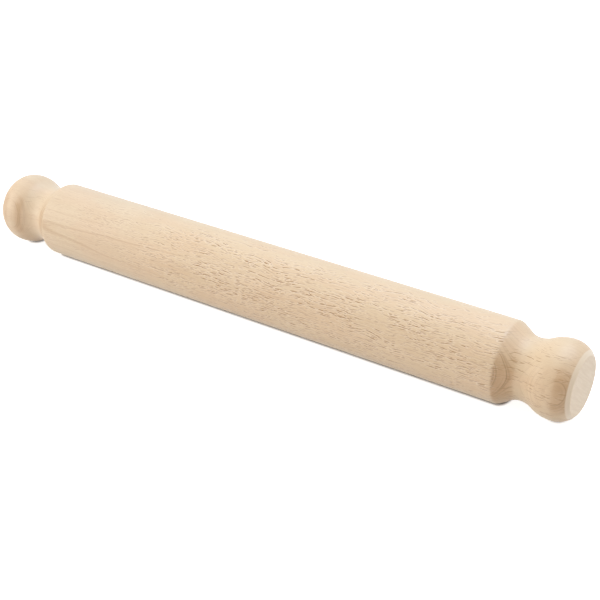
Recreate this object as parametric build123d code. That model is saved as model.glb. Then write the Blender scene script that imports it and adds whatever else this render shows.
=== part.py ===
from build123d import *
import os

# Turned beech rolling pin: a plain round barrel with a knob handle glued into each end.
# Millimetres. The pin lies along X with its centre at the origin, and +Z is up.
# Outlines are drawn in the XY plane, X along the pin and Y the radius, and turned about X.

# Whole pin
overall_length = 350.0
barrel_diameter = 40.4

# Barrel end: how far the rounding of its edge runs, along the barrel and down the handle's flank
edge_round = 1.0

# Handle, lengths along the pin, from the barrel's corner outwards
flank_length = 10.8
sweep_length = 15.7
crown_length = 8.3
bevel_length = 1.5

# Handle, steps of the radius, each from the circle before it
knob_below_barrel = 0.8
neck_below_knob = 4.1
rim_below_knob = 3.0
bevel_drop = 2.0

# Share of the flank that curves before it runs straight, and share of the sweep that is convex
cove_share = 0.254
convex_share = 0.58

# Glued joint: a round tenon on each handle in a blind socket in the barrel
tenon_diameter = 16.0
tenon_length = 26.0
tenon_chamfer = 1.2
glue_gap = 0.1
tenon_end_clearance = 1.5
mouth_chamfer = 0.6

# Radii that follow
barrel_radius = barrel_diameter / 2
knob_radius = barrel_radius - knob_below_barrel
neck_radius = knob_radius - neck_below_knob
rim_radius = knob_radius - rim_below_knob
face_radius = rim_radius - bevel_drop
tenon_radius = tenon_diameter / 2
socket_radius = tenon_radius + glue_gap

# Points of the right-hand end, from the barrel's corner to the flat end face
handle_length = flank_length + sweep_length + crown_length + bevel_length
end_x = overall_length / 2
corner = Vector(end_x - handle_length, barrel_radius)
neck = Vector(corner.X + flank_length, neck_radius)
knob = Vector(neck.X + sweep_length, knob_radius)
rim = Vector(knob.X + crown_length, rim_radius)
face_edge = Vector(end_x, face_radius)

# The cove starts level at the neck, bends about this point and goes on straight to the corner
cove_run = cove_share * flank_length
bend = Vector(neck.X - cove_run, neck_radius)
up_flank = (corner - bend).normalized()
flank_foot = bend + up_flank * cove_run

# The handle's shoulder meets the barrel's end where the edge rounding runs out on the flank
seam = corner - up_flank * edge_round
barrel_edge = Vector(corner.X - edge_round, barrel_radius)

# The sweep between knob and neck changes from convex to concave here
inflection = knob + (neck - knob) * convex_share

inward = Vector(-1, 0)
outward = Vector(1, 0)


def turned(lines):
    """The solid that a closed outline sweeps when it is turned about the pin's axis."""
    return revolve(make_face(lines), Axis.X)


def right_handle_solid():
    """One piece: tenon, flat shoulder, cove, neck, knob, bevelled rim and flat end face."""
    tenon_end = seam.X - tenon_length
    tenon = Polyline(
        (end_x, 0),
        (tenon_end, 0),
        (tenon_end, tenon_radius - tenon_chamfer),
        (tenon_end + tenon_chamfer, tenon_radius),
        (seam.X, tenon_radius),
        seam,
        flank_foot,
    )
    cove = TangentArc(neck, flank_foot, tangent=inward)
    neck_side = TangentArc(neck, inflection, tangent=outward)
    knob_side = TangentArc(knob, inflection, tangent=inward)
    crown = TangentArc(knob, rim, tangent=outward)
    end = Polyline(rim, face_edge, (end_x, 0))
    return turned([tenon, cove, neck_side, knob_side, crown, end])


def right_socket():
    """The hollow bored in the barrel's end, with a chamfered mouth for spare glue."""
    floor_x = seam.X - tenon_length - tenon_end_clearance
    return turned(
        Polyline(
            (seam.X, 0),
            (floor_x, 0),
            (floor_x, socket_radius),
            (seam.X - mouth_chamfer, socket_radius),
            (seam.X, socket_radius + mouth_chamfer),
            close=True,
        )
    )


def barrel_solid():
    """A plain cylinder with rounded edges, flat ends and a blind socket in each end."""
    right_edge = TangentArc(barrel_edge, seam, tangent=outward)
    left_edge = mirror(right_edge, Plane.YZ)
    surface = Line((-barrel_edge.X, barrel_radius), barrel_edge)
    core = Polyline(seam, (seam.X, 0), (-seam.X, 0), (-seam.X, seam.Y))
    socket = right_socket()
    return turned([left_edge, surface, right_edge, core]) - socket - mirror(socket, Plane.YZ)


right_handle = right_handle_solid()
pieces = {
    "barrel": barrel_solid(),
    "right_handle": right_handle,
    "left_handle": mirror(right_handle, Plane.YZ),
}

os.makedirs("parts", exist_ok=True)
for name, piece in pieces.items():
    export_step(piece, f"parts/{name}.step")
    print(name, "volume", round(piece.volume, 1), "valid", piece.is_valid)
print("handle", handle_length, "barrel surface", round(2 * barrel_edge.X, 3), "seam radius", round(seam.Y, 3))
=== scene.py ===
import math
import bmesh
import bpy
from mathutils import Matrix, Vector


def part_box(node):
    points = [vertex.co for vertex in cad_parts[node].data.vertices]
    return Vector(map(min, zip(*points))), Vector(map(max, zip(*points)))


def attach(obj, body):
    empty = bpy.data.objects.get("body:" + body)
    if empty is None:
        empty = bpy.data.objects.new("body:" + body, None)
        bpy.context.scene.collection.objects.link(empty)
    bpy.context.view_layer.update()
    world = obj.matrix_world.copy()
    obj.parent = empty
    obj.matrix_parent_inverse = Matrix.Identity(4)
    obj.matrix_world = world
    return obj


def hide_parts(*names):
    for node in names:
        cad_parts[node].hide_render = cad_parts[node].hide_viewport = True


# Looks of a turned beech rolling pin: barrel and two knob handles, all cut from one straight-grained stick.
# The pin lies along X on a pale floor, with its centre at the origin. Metres, unless a name ends in _MM.

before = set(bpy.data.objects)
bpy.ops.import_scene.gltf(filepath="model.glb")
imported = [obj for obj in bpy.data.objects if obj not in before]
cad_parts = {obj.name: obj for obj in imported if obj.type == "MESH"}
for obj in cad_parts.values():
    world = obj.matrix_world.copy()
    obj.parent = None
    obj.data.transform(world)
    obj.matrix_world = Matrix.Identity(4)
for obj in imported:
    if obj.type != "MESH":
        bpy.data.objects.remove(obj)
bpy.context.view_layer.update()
MM = 0.001

# Sizes read from the frame
barrel_low, barrel_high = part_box("barrel")
handle_low, handle_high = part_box("right_handle")
SEAM_X = barrel_high.x
BARREL_RADIUS = barrel_high.z
END_X = handle_high.x
TENON_END_X = handle_low.x
FLOOR_Z = barrel_low.z

# Lengths of the handle along the pin, from the barrel's corner outwards, and steps of its radius
EDGE_ROUND = 1.0 * MM
FLANK_LENGTH = 10.8 * MM
SWEEP_LENGTH = 15.7 * MM
CROWN_LENGTH = 8.3 * MM
BEVEL_LENGTH = 1.5 * MM
KNOB_BELOW_BARREL = 0.8 * MM
NECK_BELOW_KNOB = 4.1 * MM
RIM_BELOW_KNOB = 3.0 * MM
BEVEL_DROP = 2.0 * MM

# Share of the flank that curves before it runs straight, and share of the sweep that is convex
COVE_SHARE = 0.254
CONVEX_SHARE = 0.58

# Tenon and socket of the glued joint, which don't show
TENON_RADIUS = 8.0 * MM
TENON_CHAMFER = 1.2 * MM
SOCKET_RADIUS = 8.1 * MM
SOCKET_SPARE_LENGTH = 1.5 * MM
MOUTH_CHAMFER = 0.6 * MM

# Finish of the turned surface: eased creases, and shallow ripples that the tool left
CREASE_EASE = 0.35 * MM
RIPPLE_DEPTH = 0.03 * MM
RIPPLE_PITCH = 1.9 * MM
RIPPLE_BEAT = RIPPLE_PITCH * math.e
RIPPLE_FADE = 12.0 * MM

# Fineness of the meshes, and the angle from which an edge stays sharp
SEGMENTS = 192
BARREL_STEP = 1.5 * MM
HANDLE_STEP = 0.5 * MM
EDGE_STEP = HANDLE_STEP / 2
EASE_STEPS = 4
SHARP_DEGREES = 30

# Radii and places that follow, as points (along the pin, radius)
KNOB_RADIUS = BARREL_RADIUS - KNOB_BELOW_BARREL
NECK_RADIUS = KNOB_RADIUS - NECK_BELOW_KNOB
RIM_RADIUS = KNOB_RADIUS - RIM_BELOW_KNOB
FACE_RADIUS = RIM_RADIUS - BEVEL_DROP
LEAST_RIPPLED_RADIUS = NECK_RADIUS - MM / 2
HANDLE_LENGTH = FLANK_LENGTH + SWEEP_LENGTH + CROWN_LENGTH + BEVEL_LENGTH
CORNER = Vector((END_X - HANDLE_LENGTH, BARREL_RADIUS))
NECK = Vector((CORNER.x + FLANK_LENGTH, NECK_RADIUS))
KNOB = Vector((NECK.x + SWEEP_LENGTH, KNOB_RADIUS))
RIM = Vector((KNOB.x + CROWN_LENGTH, RIM_RADIUS))
FACE_EDGE = Vector((END_X, FACE_RADIUS))
COVE_RUN = COVE_SHARE * FLANK_LENGTH
BEND = Vector((NECK.x - COVE_RUN, NECK_RADIUS))
UP_FLANK = (CORNER - BEND).normalized()
FLANK_FOOT = BEND + UP_FLANK * COVE_RUN
SEAM = CORNER - UP_FLANK * EDGE_ROUND
BARREL_EDGE = Vector((CORNER.x - EDGE_ROUND, BARREL_RADIUS))
INFLECTION = KNOB + (NECK - KNOB) * CONVEX_SHARE
OUTWARD = Vector((1.0, 0.0))
INWARD = -OUTWARD


def steps_of(length, step):
    """How many equal steps of about this size fill a length."""
    return max(1, math.ceil(length / step))


def straight(start, end, step):
    """Points from start to end, both included, evenly spaced."""
    count = steps_of((end - start).length, step)
    return [start.lerp(end, i / count) for i in range(count + 1)]


def arc(start, heading, end, step):
    """Points from start to end, both included, on the circle that leaves start along heading."""
    chord = end - start
    side = Vector((-heading.y, heading.x))
    radius = chord.length_squared / (2 * chord.dot(side))
    turn = 2 * math.atan2(chord.dot(side), chord.dot(heading))
    count = steps_of(abs(radius * turn), step)
    points = []
    for i in range(count + 1):
        angle = turn * i / count
        points.append(start + heading * radius * math.sin(angle) + side * radius * (1 - math.cos(angle)))
    return points


def joined(*runs):
    """Runs of points one after another, without the point that two neighbours share."""
    points = list(runs[0])
    for run in runs[1:]:
        points += run[1:]
    return points


def mirrored(points):
    """The same points at the other end of the pin, in the opposite order."""
    return [Vector((-p.x, p.y)) for p in reversed(points)]


def eased(run_in, run_out):
    """Two runs that meet in a crease, with the crease rounded off."""
    corner = run_in[-1]
    before = [p for p in run_in if (p - corner).length > CREASE_EASE]
    after = [p for p in run_out if (p - corner).length > CREASE_EASE]
    start = corner + (before[-1] - corner).normalized() * CREASE_EASE
    end = corner + (after[0] - corner).normalized() * CREASE_EASE
    curve = []
    for i in range(EASE_STEPS + 1):
        share = i / EASE_STEPS
        curve.append(start.lerp(corner, share).lerp(corner.lerp(end, share), share))
    return before + curve, after


def right_handle_outline():
    """From the tenon's end on the axis, along the outside, to the middle of the end face."""
    tenon = [
        Vector((TENON_END_X, 0)),
        Vector((TENON_END_X, TENON_RADIUS - TENON_CHAMFER)),
        Vector((TENON_END_X + TENON_CHAMFER, TENON_RADIUS)),
        Vector((SEAM_X, TENON_RADIUS)),
        SEAM,
    ]
    grip = joined(
        straight(SEAM, FLANK_FOOT, HANDLE_STEP),
        arc(NECK, INWARD, FLANK_FOOT, HANDLE_STEP)[::-1],
        arc(NECK, OUTWARD, INFLECTION, HANDLE_STEP),
        arc(KNOB, INWARD, INFLECTION, HANDLE_STEP)[::-1],
        arc(KNOB, OUTWARD, RIM, HANDLE_STEP),
    )
    bevel = straight(RIM, FACE_EDGE, HANDLE_STEP)
    face = straight(FACE_EDGE, Vector((END_X, 0)), HANDLE_STEP)
    to_bevel, bevel_rest = eased(grip, bevel)
    to_face, face_rest = eased(to_bevel + bevel_rest, face)
    return tenon + to_face[1:] + face_rest


def barrel_outline():
    """From one socket's floor, round the outside, to the other socket's floor."""
    floor_x = TENON_END_X - SOCKET_SPARE_LENGTH
    half = joined(
        straight(Vector((0, BARREL_RADIUS)), BARREL_EDGE, BARREL_STEP),
        arc(BARREL_EDGE, OUTWARD, SEAM, EDGE_STEP),
    )
    half += [
        Vector((SEAM_X, SOCKET_RADIUS + MOUTH_CHAMFER)),
        Vector((SEAM_X - MOUTH_CHAMFER, SOCKET_RADIUS)),
        Vector((floor_x, SOCKET_RADIUS)),
        Vector((floor_x, 0)),
    ]
    return mirrored(half[1:]) + half


def ripple(x, radius):
    """How far the tool's ripples lie below the outline. They fade out on the barrel."""
    if radius < LEAST_RIPPLED_RADIUS:
        return 0.0
    fade = min(1.0, max(0.0, 1 - (SEAM_X - abs(x)) / RIPPLE_FADE))
    wave = math.sin(math.tau * abs(x) / RIPPLE_PITCH) * math.cos(math.tau * abs(x) / RIPPLE_BEAT)
    return RIPPLE_DEPTH * fade * (1 + wave) / 2


def turned(name, outline):
    """A closed mesh piece, its outline turned about the X axis. The outline starts and ends on the axis."""
    mesh = bpy.data.meshes.new(name)
    shape = bmesh.new()
    rings = []
    for point in outline:
        if point.y == 0:
            rings.append([shape.verts.new((point.x, 0, 0))] * SEGMENTS)
            continue
        radius = point.y - ripple(point.x, point.y)
        ring = []
        for i in range(SEGMENTS):
            angle = math.tau * i / SEGMENTS
            ring.append(shape.verts.new((point.x, radius * math.cos(angle), radius * math.sin(angle))))
        rings.append(ring)
    for near, far in zip(rings, rings[1:]):
        for i in range(SEGMENTS):
            after = (i + 1) % SEGMENTS
            corners = dict.fromkeys((near[i], near[after], far[after], far[i]))
            shape.faces.new(list(corners)).smooth = True
    bmesh.ops.recalc_face_normals(shape, faces=shape.faces)
    shape.to_mesh(mesh)
    shape.free()
    mesh.set_sharp_from_angle(angle=math.radians(SHARP_DEGREES))
    piece = bpy.data.objects.new(name, mesh)
    bpy.context.scene.collection.objects.link(piece)
    return piece


def across_pin(degrees):
    """The direction square to the pin that points to its front, this many degrees above level."""
    angle = math.radians(degrees)
    return (0.0, -math.cos(angle), math.sin(angle))


# Directions in the wood: fibres along the pin, RING square to the growth rings, FLAT along them
ALONG_PIN = (1.0, 0.0, 0.0)
RING_TILT_DEGREES = 9.4
RING_DIRECTION = across_pin(RING_TILT_DEGREES)
FLAT_DIRECTION = (0.0, RING_DIRECTION[2], -RING_DIRECTION[1])

# The surface cuts the rays squarely where it faces this way, a little above RING
RAY_TURN_DEGREES = 8.0
RAY_DIRECTION = across_pin(RING_TILT_DEGREES + RAY_TURN_DEGREES)

# Painted shade: the cut fibres on the flank beside the barrel are darkened most where they face this way, a
# little below RING, on the underside that little light reaches
PAINTED_SHADE_TILT_DEGREES = -4.6
PAINTED_SHADE_DIRECTION = across_pin(PAINTED_SHADE_TILT_DEGREES)

# Directions along and across the sanding marks on the end faces
MARKS_ANGLE = math.radians(-39.0)
MARKS_ALONG = (0.0, math.cos(MARKS_ANGLE), math.sin(MARKS_ANGLE))
MARKS_ACROSS = (0.0, -MARKS_ALONG[2], MARKS_ALONG[1])

# Noises in the wood: size along and across the fibres in millimetres, shift, detail, roughness
SWAY_NOISE = (55.0, 30.0, 3.1, 0.0, 0.5)
WAVER_NOISE = (15.0, 18.0, 11.9, 0.0, 0.5)
WANDER_NOISE = (70.0, 14.0, 7.7, 2.0, 0.5)
STREAK_NOISE = (60.0, 2.4, 1.3, 3.0, 0.55)
CLOUD_NOISE = (26.0, 9.0, 5.9, 2.0, 0.5)
PORE_NOISE = (2.2, 0.25, 9.2, 2.0, 0.6)
ROSY_NOISE = (34.0, 11.0, 41.7, 1.0, 0.5)
CROWD_NOISE = (22.0, 6.0, 23.5, 1.0, 0.5)

# How far the noises move the fibres sideways, and how far they move the growth rings
SWAY_MM = 2.6
WAVER_MM = 2.0
WANDER_MM = 1.3

# Names below that end in _RAMP hold where a change starts and ends, and the values before and after it.
# Without values it goes from 0 to 1. Places are in millimetres from the pin's middle.

# How the surface cuts the fibres, by how far it faces along the pin
CUT_RAMP = (0.02, 0.38)
END_GRAIN_RAMP = (0.62, 0.80)
END_FACE_RAMP = (0.86, 0.98)
PAST_BARREL_RAMP = (138.4, 139.8)

# How squarely the surface faces the rings, and the darkening of the cut fibres on and past the flank: painted
# shade on the flank, their own darker tone past it
SQUARELY_RAMP = (0.75, 0.97)
LEAST_ROUND_PART = 0.2
FLANK_SHADE_FACING_RAMP = (0.60, 0.95)
FLANK_SHADE_RAMP = (138.0, 147.0, 1.25, 0.80)
PAST_FLANK_RAMP = (148.0, 154.0)

# Where the necks start and end, on the left and on the right, and how long their changes are
LEFT_TO_RIGHT = (-1.0, 1.0)
NECK_STARTS_MM = (142.0, 147.0)
NECK_ENDS_MM = (155.0, 160.0)
NECK_START_FADE_MM = 4.0
NECK_END_FADE_MM = 5.0

# Growth rings: shells round a pith at this distance, a little sloped to the pin
RING_SPACING_MM = 1.9
RING_SLOPE = 0.0126
RING_OFFSET_MM = 1.67
PITH_DISTANCE_MM = 95.0

# Near the ends the rings bend back from the front, by this much per square millimetre from these places
RIGHT_BEND_MM = 118.0
LEFT_BEND_MM = -150.0
BEND_RATE = 0.0030

# Across each ring, as shares of it: the late wood darkens, its line sets in, and both end
LATE_RAMP = (0.35, 0.95)
RING_LINE_RAMP = (0.82, 0.92)
RING_END_RAMP = (0.93, 0.99, 1.0, 0.0)

# Fine layers inside the rings
LAYER_LENGTH_MM = 150.0
LAYER_BREADTH_MM = 40.0
LAYER_SPACING_MM = 0.55
LAYER_LINE_RAMP = (0.54, 0.68)

# How clearly the rings show: least, how much the necks take away, and less on the left handle
LEAST_CLEAR = 0.2
NECK_LOSS = 0.7
LEFT_CLEAR_RAMP = (-145.0, -138.0, 0.5, 1.0)

# Tones, from 0 for pale wood to 1 for deep wood, and what each part of the grain adds
BASE_TONE = 0.30
LATE_TONE = 0.10
LATE_CUT_TONE = 0.30
RING_TONE_RAMP = (-80.0, 0.0, 0.52, 0.12)
LAYER_TONE_RAMP = (-80.0, 0.0, 0.15, 0.06)
# Painted shade on the flank and darker cut fibres past it: tone added off and on the neck
CUT_DARK_AND_SHADE_TONES = (0.60, 0.0)
STREAK_TONE = 0.32
CLOUD_TONE = 0.45
PORE_TONE = 0.60

# Arcs: ring and layer lines where the fibres are cut
LAYER_ARC = 0.7
ARC_RAMP = (155.0, 162.0, 0.62, 0.42)

# Where shades are laid over the wood: rosy patches, cut fibres off and on the neck, the left part
ROSY_RAMP = (0.42, 0.62)
CUT_SHADE_SHARES = (1.0, 0.2)
LEFT_SHADE_RAMP = (-110.0, -30.0, 1.0, 0.0)

# End faces: sanding marks, and how much their colour covers the wood
MARK_LENGTH_MM = 12.0
MARK_WIDTH_MM = 1.3
MARK_SHIFT = 2.0
MARK_DETAIL = 2.0
MARK_ROUGHNESS = 0.6
MARK_RAMP = (0.30, 0.72)
END_COVER = 0.9

# Rays, in two layers: cell that holds one, shortest and longest, thinnest and thickest, shift of the cells
RAY_LAYERS = (
    ((5.5, 1.1), (2.0, 7.5), (0.18, 0.42), 0.0),
    ((3.8, 0.9), (1.2, 4.4), (0.12, 0.28), 17.3),
)

# All rays: depth, soft edge, scatter, lean against the fibres, strength by thickness, and least squeeze
RAY_DEPTH_MM = 22.0
RAY_EDGE_MM = 0.10
RAY_SCATTER = 0.9
RAY_LEAN_LOW = -0.12
RAY_LEAN_SPAN = 0.20
RAY_STRENGTH_RAMP = (0.05, 0.6, 0.25, 1.0)
RAY_COVER = 0.92
LEAST_SQUEEZE = 0.25

# Pale border of a ray: beside it, and wider than it
HALO_OFFSET_MM = -0.15
HALO_SPREAD_MM = 0.18

# Where rays show: by how far they are faced, in crowds, and fewer to the left and on the handles
RAY_FACING_RAMP = (0.05, 0.5, 0.25, 1.0)
CROWD_RAMP = (0.30, 0.52, 0.45, 1.0)
LEFT_RAYS_RAMP = (-120.0, -10.0, 0.33, 1.0)
RIGHT_RAYS_RAMP = (40.0, 110.0, 1.0, 0.93)
HANDLE_RAMP = (136.0, 143.0)

# Strands, inside which the rays are strongest
STRAND_LENGTH_MM = 16.0
STRAND_WIDTH_MM = 1.2

# On the barrel and on the handles: strength of rays and borders, and the strands' ramp and lowest value
RAY_SHARES = (1.0, 0.68)
HALO_SHARES = (0.85, 0.25)
STRAND_STARTS = (0.32, 0.49)
STRAND_ENDS = (0.52, 0.60)
STRAND_LEASTS = (0.40, 0.05)

# Colours, linear
PALE_WOOD = (0.850, 0.672, 0.450, 1)
DEEP_WOOD = (0.680, 0.486, 0.287, 1)
END_WOOD = (0.872, 0.684, 0.450, 1)
END_PALE = (0.948, 0.765, 0.527, 1)
# Painted light: the bevels are painted paler than the end faces, to stand in for light on them
BEVEL_PAINTED_LIGHT = (0.900, 0.745, 0.540, 1)
ARC_TINT = (0.40, 0.26, 0.14, 1)
RAY_TINT = (0.355, 0.15, 0.015, 1)
HALO_TINT = (0.94, 0.79, 0.610, 1)

# Shades that the colour is multiplied by
ROSY_SHADE = (1.0, 0.972, 0.965, 1)
CUT_SHADE = (0.975, 0.945, 0.91, 1)
LEFT_SHADE = (0.990, 1.016, 1.070, 1)

# Surface: matt, with pores and rays just felt, and fine fuzz from the sanding that gives a pale rim
LEAST_ROUGHNESS = 0.40
PORE_ROUGHNESS = 0.16
SPECULAR = 0.5
SHEEN_WEIGHT = 0.15
SHEEN_ROUGHNESS = 0.35
SHEEN_TINT = (0.55, 0.85, 1.0, 1)
RAY_RELIEF = -0.25
BUMP_STRENGTH = 0.25
BUMP_DEPTH = 0.06 * MM


class Nodes:
    """Adds nodes to a material's tree and joins them."""

    def __init__(self, tree):
        self.tree = tree

    def put(self, socket, value):
        if isinstance(value, bpy.types.NodeSocket):
            self.tree.links.new(value, socket)
        else:
            socket.default_value = value

    def add(self, kind, inputs=None, **settings):
        node = self.tree.nodes.new(kind)
        for name, value in settings.items():
            setattr(node, name, value)
        for name, value in (inputs or {}).items():
            self.put(node.inputs[name], value)
        return node

    def calc(self, operation, *values, clamp=False):
        node = self.add("ShaderNodeMath", operation=operation, use_clamp=clamp)
        for socket, value in zip(node.inputs, values):
            self.put(socket, value)
        return node.outputs[0]

    def product(self, first, *others):
        """All the values multiplied."""
        for other in others:
            first = self.calc("MULTIPLY", first, other)
        return first

    def swing(self, base, noise, width):
        """The base, moved up and down by a noise. Width is from the lowest to the highest."""
        return self.calc("MULTIPLY_ADD", self.calc("SUBTRACT", noise, 0.5), width, base)

    def vector(self, operation, *values):
        node = self.add("ShaderNodeVectorMath", operation=operation)
        for socket, value in zip(node.inputs, values):
            self.put(socket, value)
        return node.outputs["Value" if operation == "DOT_PRODUCT" else "Vector"]

    def ramp(self, value, start, end, low=0.0, high=1.0):
        """Low below start, high above end, and smooth between."""
        inputs = {"Value": value, "From Min": start, "From Max": end, "To Min": low, "To Max": high}
        return self.add("ShaderNodeMapRange", inputs, interpolation_type="SMOOTHSTEP").outputs[0]

    def choose(self, factor, low, high):
        """Low where the factor is 0, high where it is 1, and smooth between."""
        return self.ramp(factor, 0.0, 1.0, low, high)

    def point(self, x, y, z):
        return self.add("ShaderNodeCombineXYZ", {"X": x, "Y": y, "Z": z}).outputs[0]

    def parts(self, value):
        return self.add("ShaderNodeSeparateXYZ", {"Vector": value}).outputs

    def noise(self, at, detail=0.0, roughness=0.5):
        inputs = {"Vector": at, "Scale": 1.0, "Detail": detail, "Roughness": roughness}
        return self.add("ShaderNodeTexNoise", inputs).outputs["Fac"]

    def mix(self, factor, a, b, blend="MIX"):
        node = self.add("ShaderNodeMix", data_type="RGBA", blend_type=blend)
        self.put(node.inputs[0], factor)
        self.put(node.inputs[6], a)
        self.put(node.inputs[7], b)
        return node.outputs[2]


class Spot:
    """Where a point of the surface lies in the wood, in millimetres, how the fibres are cut there, and the
    painted shade on the flank.
    """

    def __init__(self, n):
        self.n = n
        place = n.add("ShaderNodeTexCoord").outputs
        self.normal = place["Normal"]
        self.at = n.vector("SCALE", place["Object"])
        self.at.node.inputs["Scale"].default_value = 1 / MM
        self.x = n.vector("DOT_PRODUCT", self.at, ALONG_PIN)
        self.flat = n.vector("DOT_PRODUCT", self.at, FLAT_DIRECTION)
        self.ring = n.vector("DOT_PRODUCT", self.at, RING_DIRECTION)
        self.from_middle = n.calc("ABSOLUTE", self.x)
        self.wave_fibres()
        self.find_cut()
        self.find_neck()

    def noise(self, along, across, shift, detail, roughness):
        """A noise that is drawn out along the fibres."""
        n = self.n
        at = n.point(
            n.calc("MULTIPLY_ADD", self.x, 1 / along, shift),
            n.calc("MULTIPLY_ADD", self.flat, 1 / across, shift),
            n.calc("MULTIPLY_ADD", self.ring, 1 / across, shift),
        )
        return n.noise(at, detail, roughness)

    def facing(self, direction):
        """1 where the surface faces a direction or its opposite, 0 where it runs along it."""
        return self.n.calc("ABSOLUTE", self.n.vector("DOT_PRODUCT", self.normal, direction))

    def wave_fibres(self):
        """The fibres wave: slowly over the length, and a little from ray to ray."""
        sway = self.noise(*SWAY_NOISE)
        waver = self.noise(*WAVER_NOISE)
        self.flat = self.n.swing(self.flat, sway, SWAY_MM)
        self.flat = self.n.swing(self.flat, waver, WAVER_MM)

    def find_cut(self):
        """How far the surface cuts across the fibres, how squarely it faces the rings, and how dark its cut
        fibres are, with painted shade on the flank.
        """
        n = self.n
        self.endwise = self.facing(ALONG_PIN)
        self.end_grain = n.ramp(self.endwise, *END_GRAIN_RAMP)
        past_barrel = n.ramp(self.from_middle, *PAST_BARREL_RAMP)
        self.cut = n.calc("MULTIPLY", n.ramp(self.endwise, *CUT_RAMP), past_barrel)
        square = n.calc("MULTIPLY", self.endwise, self.endwise)
        round_part = n.calc("SQRT", n.calc("SUBTRACT", 1.0, square))
        round_part = n.calc("MAXIMUM", round_part, LEAST_ROUND_PART)
        self.squarely = n.ramp(n.calc("DIVIDE", self.facing(RING_DIRECTION), round_part), *SQUARELY_RAMP)
        # Painted shade on the flank's underside, which gives way past the flank to the darker tone where the
        # rings are faced squarely
        flank = n.ramp(n.calc("DIVIDE", self.facing(PAINTED_SHADE_DIRECTION), round_part), *FLANK_SHADE_FACING_RAMP)
        flank = n.calc("MULTIPLY", flank, n.ramp(self.from_middle, *FLANK_SHADE_RAMP))
        past_flank = n.ramp(self.from_middle, *PAST_FLANK_RAMP)
        self.shade = n.calc("MULTIPLY_ADD", n.calc("SUBTRACT", self.squarely, flank), past_flank, flank)

    def find_neck(self):
        """1 on the two necks and 0 elsewhere."""
        n = self.n
        start = n.ramp(self.x, *LEFT_TO_RIGHT, *NECK_STARTS_MM)
        end = n.ramp(self.x, *LEFT_TO_RIGHT, *NECK_ENDS_MM)
        past_start = n.ramp(n.calc("SUBTRACT", self.from_middle, start), 0.0, NECK_START_FADE_MM)
        past_end = n.ramp(n.calc("SUBTRACT", self.from_middle, end), 0.0, NECK_END_FADE_MM)
        self.on_neck = n.calc("SUBTRACT", past_start, past_end)


def growth_rings(n, spot):
    """Gives the late wood of the rings, the line at its end, and the fine layers between."""
    bow = n.calc("MULTIPLY", n.calc("MULTIPLY", spot.flat, spot.flat), 0.5 / PITH_DISTANCE_MM)
    sloped = n.calc("MULTIPLY_ADD", spot.x, RING_SLOPE, RING_OFFSET_MM)
    shell = n.calc("ADD", n.calc("ADD", spot.ring, bow), sloped)
    past_right = n.calc("SUBTRACT", spot.x, RIGHT_BEND_MM)
    past_left = n.calc("SUBTRACT", LEFT_BEND_MM, spot.x)
    for distance in (past_right, past_left):
        past = n.calc("MAXIMUM", distance, 0.0)
        shell = n.calc("MULTIPLY_ADD", n.calc("MULTIPLY", past, past), BEND_RATE, shell)
    shell = n.calc("MULTIPLY_ADD", spot.noise(*WANDER_NOISE), WANDER_MM, shell)
    turn = n.calc("FRACT", n.calc("DIVIDE", shell, RING_SPACING_MM))
    drop = n.ramp(turn, *RING_END_RAMP)
    late = n.calc("MULTIPLY", n.ramp(turn, *LATE_RAMP), drop)
    ring_line = n.calc("MULTIPLY", n.ramp(turn, *RING_LINE_RAMP), drop)
    in_layers = n.point(
        n.calc("DIVIDE", spot.x, LAYER_LENGTH_MM),
        n.calc("DIVIDE", spot.flat, LAYER_BREADTH_MM),
        n.calc("MULTIPLY", shell, 1 / LAYER_SPACING_MM),
    )
    layer_line = n.ramp(n.noise(in_layers), *LAYER_LINE_RAMP)
    return late, ring_line, layer_line


def side_colour(n, spot, pores):
    """Colour of the wood between the end faces, without its rays."""
    late, ring_line, layer_line = growth_rings(n, spot)
    clear = n.calc("MULTIPLY_ADD", spot.squarely, 1 - LEAST_CLEAR, LEAST_CLEAR)
    clear = n.calc("MULTIPLY", clear, n.calc("MULTIPLY_ADD", spot.on_neck, -NECK_LOSS, 1.0))
    clear = n.calc("MULTIPLY", clear, n.ramp(spot.x, *LEFT_CLEAR_RAMP))

    # Tone: rings and layers, darker wood where the fibres are cut and painted shade on the flank, streaks,
    # clouds and pores
    tone = n.calc("MULTIPLY", late, n.calc("MULTIPLY_ADD", spot.cut, LATE_CUT_TONE, LATE_TONE))
    tone = n.calc("MULTIPLY_ADD", ring_line, n.ramp(spot.x, *RING_TONE_RAMP), tone)
    tone = n.calc("MULTIPLY_ADD", layer_line, n.ramp(spot.x, *LAYER_TONE_RAMP), tone)
    tone = n.calc("MULTIPLY", tone, clear)
    # Cut fibres darkened: painted shade on the flank, their own darker tone past it
    cut_dark_and_shade = n.calc("MULTIPLY", spot.cut, spot.shade)
    tone = n.calc("MULTIPLY_ADD", cut_dark_and_shade, n.choose(spot.on_neck, *CUT_DARK_AND_SHADE_TONES), tone)
    tone = n.swing(tone, spot.noise(*STREAK_NOISE), STREAK_TONE)
    tone = n.swing(tone, spot.noise(*CLOUD_NOISE), CLOUD_TONE)
    tone = n.swing(tone, pores, PORE_TONE)
    tone = n.calc("ADD", tone, BASE_TONE, clamp=True)
    colour = n.mix(tone, PALE_WOOD, DEEP_WOOD)

    # Arcs, and the shades over all
    lines = n.calc("MAXIMUM", ring_line, n.calc("MULTIPLY", layer_line, LAYER_ARC))
    arcs = n.product(spot.cut, clear, lines, n.ramp(spot.from_middle, *ARC_RAMP))
    colour = n.mix(arcs, colour, ARC_TINT)
    rosy = n.ramp(spot.noise(*ROSY_NOISE), *ROSY_RAMP)
    cut = n.calc("MULTIPLY", spot.cut, n.choose(spot.on_neck, *CUT_SHADE_SHARES))
    left = n.ramp(spot.x, *LEFT_SHADE_RAMP)
    for share, shade in ((rosy, ROSY_SHADE), (cut, CUT_SHADE), (left, LEFT_SHADE)):
        colour = n.mix(share, colour, shade, "MULTIPLY")
    return colour


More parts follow.
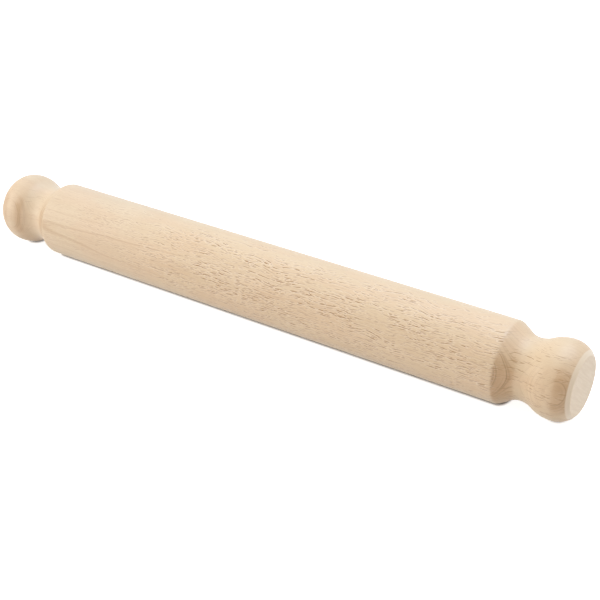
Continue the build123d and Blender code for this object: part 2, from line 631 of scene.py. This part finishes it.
def end_colour(n, spot):
    """Colour of the end faces, pale with the marks of the last sanding, and of the bevels round them, painted
    paler than the faces as painted light.
    """
    on_marks = n.point(
        n.calc("DIVIDE", n.vector("DOT_PRODUCT", spot.at, MARKS_ALONG), MARK_LENGTH_MM),
        n.calc("DIVIDE", n.vector("DOT_PRODUCT", spot.at, MARKS_ACROSS), MARK_WIDTH_MM),
        MARK_SHIFT,
    )
    marks = n.noise(on_marks, MARK_DETAIL, MARK_ROUGHNESS)
    face = n.mix(n.ramp(marks, *MARK_RAMP), END_WOOD, END_PALE)
    # Bevels painted paler than the faces: painted light
    return n.mix(n.ramp(spot.endwise, *END_FACE_RAMP), BEVEL_PAINTED_LIGHT, face)


def half_between(n, chance, least, most):
    """Half of a size that chance picks between least and most."""
    return n.calc("MULTIPLY_ADD", chance, (most - least) / 2, least / 2)


def lens(n, half_width, across, offset, spread):
    """1 inside a dash, 0 outside, with a soft edge."""
    side = n.calc("ABSOLUTE", n.calc("SUBTRACT", across, offset))
    inside = n.calc("SUBTRACT", n.calc("ADD", half_width, spread), side)
    return n.calc("MULTIPLY_ADD", inside, 1 / RAY_EDGE_MM, 0.5, clamp=True)


def ray_layer(n, x, across, depth, squeeze, cell, lengths, widths, shift):
    """Rays: thin ribbons that stand across the rings. Gives how much of a ray, and of its border, is here."""
    cell_along, cell_across = cell
    at = n.point(
        n.calc("MULTIPLY_ADD", x, 1 / cell_along, shift),
        n.calc("MULTIPLY_ADD", across, 1 / cell_across, shift),
        n.calc("MULTIPLY_ADD", depth, 1 / RAY_DEPTH_MM, shift),
    )
    cells = n.add("ShaderNodeTexVoronoi", {"Vector": at, "Scale": 1.0, "Randomness": RAY_SCATTER})
    away = n.parts(n.vector("SUBTRACT", at, cells.outputs["Position"]))
    chance = n.add("ShaderNodeSeparateColor", {"Color": cells.outputs["Color"]}).outputs
    along = n.calc("MULTIPLY", away[0], cell_along)
    lean = n.calc("MULTIPLY_ADD", chance[2], RAY_LEAN_SPAN, RAY_LEAN_LOW)
    aside = n.calc("MULTIPLY_ADD", along, lean, n.calc("MULTIPLY", away[1], cell_across))
    aside = n.calc("DIVIDE", aside, squeeze)
    reach = n.calc("DIVIDE", along, half_between(n, chance[0], *lengths))
    taper = n.calc("SUBTRACT", 1.0, n.calc("MULTIPLY", reach, reach))
    half_width = n.calc("MULTIPLY", taper, half_between(n, chance[1], *widths))
    strength = n.ramp(chance[1], *RAY_STRENGTH_RAMP)
    ray = n.calc("MULTIPLY", lens(n, half_width, aside, 0.0, 0.0), strength)
    halo = n.calc("MULTIPLY", lens(n, half_width, aside, HALO_OFFSET_MM, HALO_SPREAD_MM), strength)
    return ray, halo


def ray_show(n, spot, across, depth, faced, on_handle):
    """How strongly rays show here."""
    in_strands = n.point(
        n.calc("DIVIDE", spot.x, STRAND_LENGTH_MM),
        n.calc("DIVIDE", across, STRAND_WIDTH_MM),
        n.calc("DIVIDE", depth, RAY_DEPTH_MM),
    )
    strand = n.ramp(
        n.noise(in_strands),
        n.choose(on_handle, *STRAND_STARTS),
        n.choose(on_handle, *STRAND_ENDS),
        n.choose(on_handle, *STRAND_LEASTS),
        1.0,
    )
    return n.product(
        n.ramp(faced, *RAY_FACING_RAMP),
        n.calc("SUBTRACT", 1.0, spot.end_grain),
        n.choose(on_handle, *RAY_SHARES),
        n.ramp(spot.noise(*CROWD_NOISE), *CROWD_RAMP),
        strand,
        n.ramp(spot.x, *LEFT_RAYS_RAMP),
        n.ramp(spot.x, *RIGHT_RAYS_RAMP),
    )


def rays_and_halos(n, spot):
    """Rays and their borders, squeezed where a slanting cut would widen them."""
    turn = math.radians(RAY_TURN_DEGREES)
    across = n.calc("MULTIPLY_ADD", spot.flat, math.cos(turn), n.calc("MULTIPLY", spot.ring, -math.sin(turn)))
    depth = n.calc("MULTIPLY_ADD", spot.ring, math.cos(turn), n.calc("MULTIPLY", spot.flat, math.sin(turn)))
    faced = spot.facing(RAY_DIRECTION)
    on_handle = n.ramp(spot.from_middle, *HANDLE_RAMP)
    show = ray_show(n, spot, across, depth, faced, on_handle)
    squeeze = n.calc("MAXIMUM", faced, LEAST_SQUEEZE)
    layers = [ray_layer(n, spot.x, across, depth, squeeze, *layer) for layer in RAY_LAYERS]
    rays, halos = zip(*layers)
    ray = n.calc("MULTIPLY", n.calc("MAXIMUM", *rays), show)
    halo = n.product(n.calc("MAXIMUM", *halos), show, n.choose(on_handle, *HALO_SHARES))
    return ray, halo


def beech(name):
    """Untreated, fine sanded beech, with rings, rays and fibres that run through the solid."""
    material = bpy.data.materials.new(name)
    material.use_nodes = True
    n = Nodes(material.node_tree)
    shader = material.node_tree.nodes["Principled BSDF"]
    spot = Spot(n)
    pores = spot.noise(*PORE_NOISE)
    ray, halo = rays_and_halos(n, spot)
    colour = side_colour(n, spot, pores)
    colour = n.mix(n.calc("MULTIPLY", spot.end_grain, END_COVER), colour, end_colour(n, spot))
    colour = n.mix(halo, colour, HALO_TINT)
    colour = n.mix(n.calc("MULTIPLY", ray, RAY_COVER), colour, RAY_TINT)
    height = n.calc("MULTIPLY_ADD", ray, RAY_RELIEF, pores)
    bump = n.add("ShaderNodeBump", {"Height": height, "Strength": BUMP_STRENGTH, "Distance": BUMP_DEPTH})
    surface = {
        "Base Color": colour,
        "Roughness": n.calc("MULTIPLY_ADD", pores, PORE_ROUGHNESS, LEAST_ROUGHNESS),
        "Specular IOR Level": SPECULAR,
        "Sheen Weight": SHEEN_WEIGHT,
        "Sheen Roughness": SHEEN_ROUGHNESS,
        "Sheen Tint": SHEEN_TINT,
        "Normal": bump.outputs[0],
    }
    for socket, value in surface.items():
        n.put(shader.inputs[socket], value)
    return material


# Camera, at the photograph's place: 36 mm film, so the lens gives the frame's angle
CAMERA_AT = (0.3309, -0.4561, 0.3010)
CAMERA_AIM = (0.0255, -0.0051, 0.0)
LENS_MM = 74.15


def look(obj, target):
    """Turns a camera or lamp to face a point."""
    direction = Vector(target) - obj.location
    obj.rotation_euler = direction.to_track_quat("-Z", "Y").to_euler()


def add_camera():
    data = bpy.data.cameras.new("camera")
    data.lens = LENS_MM
    camera = bpy.data.objects.new("camera", data)
    bpy.context.scene.collection.objects.link(camera)
    camera.location = CAMERA_AT
    look(camera, CAMERA_AIM)
    bpy.context.scene.camera = camera


# Soft boxes: name, azimuth and elevation of the direction that the light comes from, watts, colour
BOX_DISTANCE = 1.2
BOX_WIDTH = 0.9
SOFT_BOXES = (
    ("left_box", 213.0, 12.0, 8.4, (1.0, 0.995, 0.98)),
    ("top_box", 60.0, 65.0, 9.1, (0.84, 1.05, 1.38)),
)


def add_soft_box(name, azimuth_degrees, elevation_degrees, watts, colour):
    data = bpy.data.lights.new(name, "AREA")
    data.size = BOX_WIDTH
    data.energy = watts
    data.color = colour
    lamp = bpy.data.objects.new(name, data)
    bpy.context.scene.collection.objects.link(lamp)
    azimuth = math.radians(azimuth_degrees)
    elevation = math.radians(elevation_degrees)
    level = math.cos(elevation)
    direction = Vector((math.cos(azimuth) * level, math.sin(azimuth) * level, math.sin(elevation)))
    lamp.location = direction * BOX_DISTANCE
    look(lamp, (0, 0, 0))


# World and floor. The contact shadow is where the pin leaves little open sky within this reach.
WORLD_COLOUR = (0.562, 0.502, 0.445, 1)
WHITE = (1.0, 1.0, 1.0, 1)
FLOOR_COLOUR = (0.665, 0.66, 0.665, 1)
FLOOR_ROUGHNESS = 0.9
FLOOR_SPECULAR = 0.0
FLOOR_WIDTH = 6.0
FLOOR_GLOW = 0.86
CONTACT_REACH = 2.0 * MM
CONTACT_RAMP = (0.35, 0.80, 0.0, FLOOR_GLOW)
CONTACT_SAMPLES = 8


def seen_directly(n):
    """1 where a ray comes straight from the camera, a mirror or clear glass."""
    path = n.add("ShaderNodeLightPath").outputs
    seen = n.calc("MAXIMUM", path["Is Camera Ray"], path["Is Glossy Ray"])
    return n.calc("MAXIMUM", seen, path["Is Transmission Ray"])


def light_world():
    """White behind the pin, and a dimmer even light on it."""
    world = bpy.data.worlds.new("studio")
    bpy.context.scene.world = world
    world.use_nodes = True
    n = Nodes(world.node_tree)
    background = world.node_tree.nodes["Background"]
    n.put(background.inputs["Color"], n.mix(seen_directly(n), WORLD_COLOUR, WHITE))


def floor_material():
    """Pale, and lit up to white for the camera, but for the pin's shadow."""
    material = bpy.data.materials.new("pale_floor")
    material.use_nodes = True
    n = Nodes(material.node_tree)
    shader = material.node_tree.nodes["Principled BSDF"]
    contact = {"Distance": CONTACT_REACH}
    open_sky = n.add("ShaderNodeAmbientOcclusion", contact, samples=CONTACT_SAMPLES).outputs["AO"]
    surface = {
        "Base Color": FLOOR_COLOUR,
        "Roughness": FLOOR_ROUGHNESS,
        "Specular IOR Level": FLOOR_SPECULAR,
        "Emission Color": WHITE,
        "Emission Strength": n.calc("MULTIPLY", seen_directly(n), n.ramp(open_sky, *CONTACT_RAMP)),
    }
    for socket, value in surface.items():
        n.put(shader.inputs[socket], value)
    return material


def add_floor():
    """A pale floor that reads as white from the camera and keeps the pin's shadow."""
    mesh = bpy.data.meshes.new("floor")
    half = FLOOR_WIDTH / 2
    corners = [(-half, -half, FLOOR_Z), (half, -half, FLOOR_Z), (half, half, FLOOR_Z), (-half, half, FLOOR_Z)]
    mesh.from_pydata(corners, [], [(0, 1, 2, 3)])
    mesh.materials.append(floor_material())
    floor = bpy.data.objects.new("floor", mesh)
    bpy.context.scene.collection.objects.link(floor)


right_outline = right_handle_outline()
wood = beech("beech")
for node, slot, outline in (
    ("barrel", "barrel_beech", barrel_outline()),
    ("right_handle", "handle_beech", right_outline),
    ("left_handle", "handle_beech", mirrored(right_outline)),
):
    piece = turned(node + "_turned", outline)
    piece.data.materials.append(wood)
    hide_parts(node)
    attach(piece, "root")

add_camera()
for box in SOFT_BOXES:
    add_soft_box(*box)
light_world()
add_floor()
bpy.context.scene.view_settings.view_transform = "Standard"
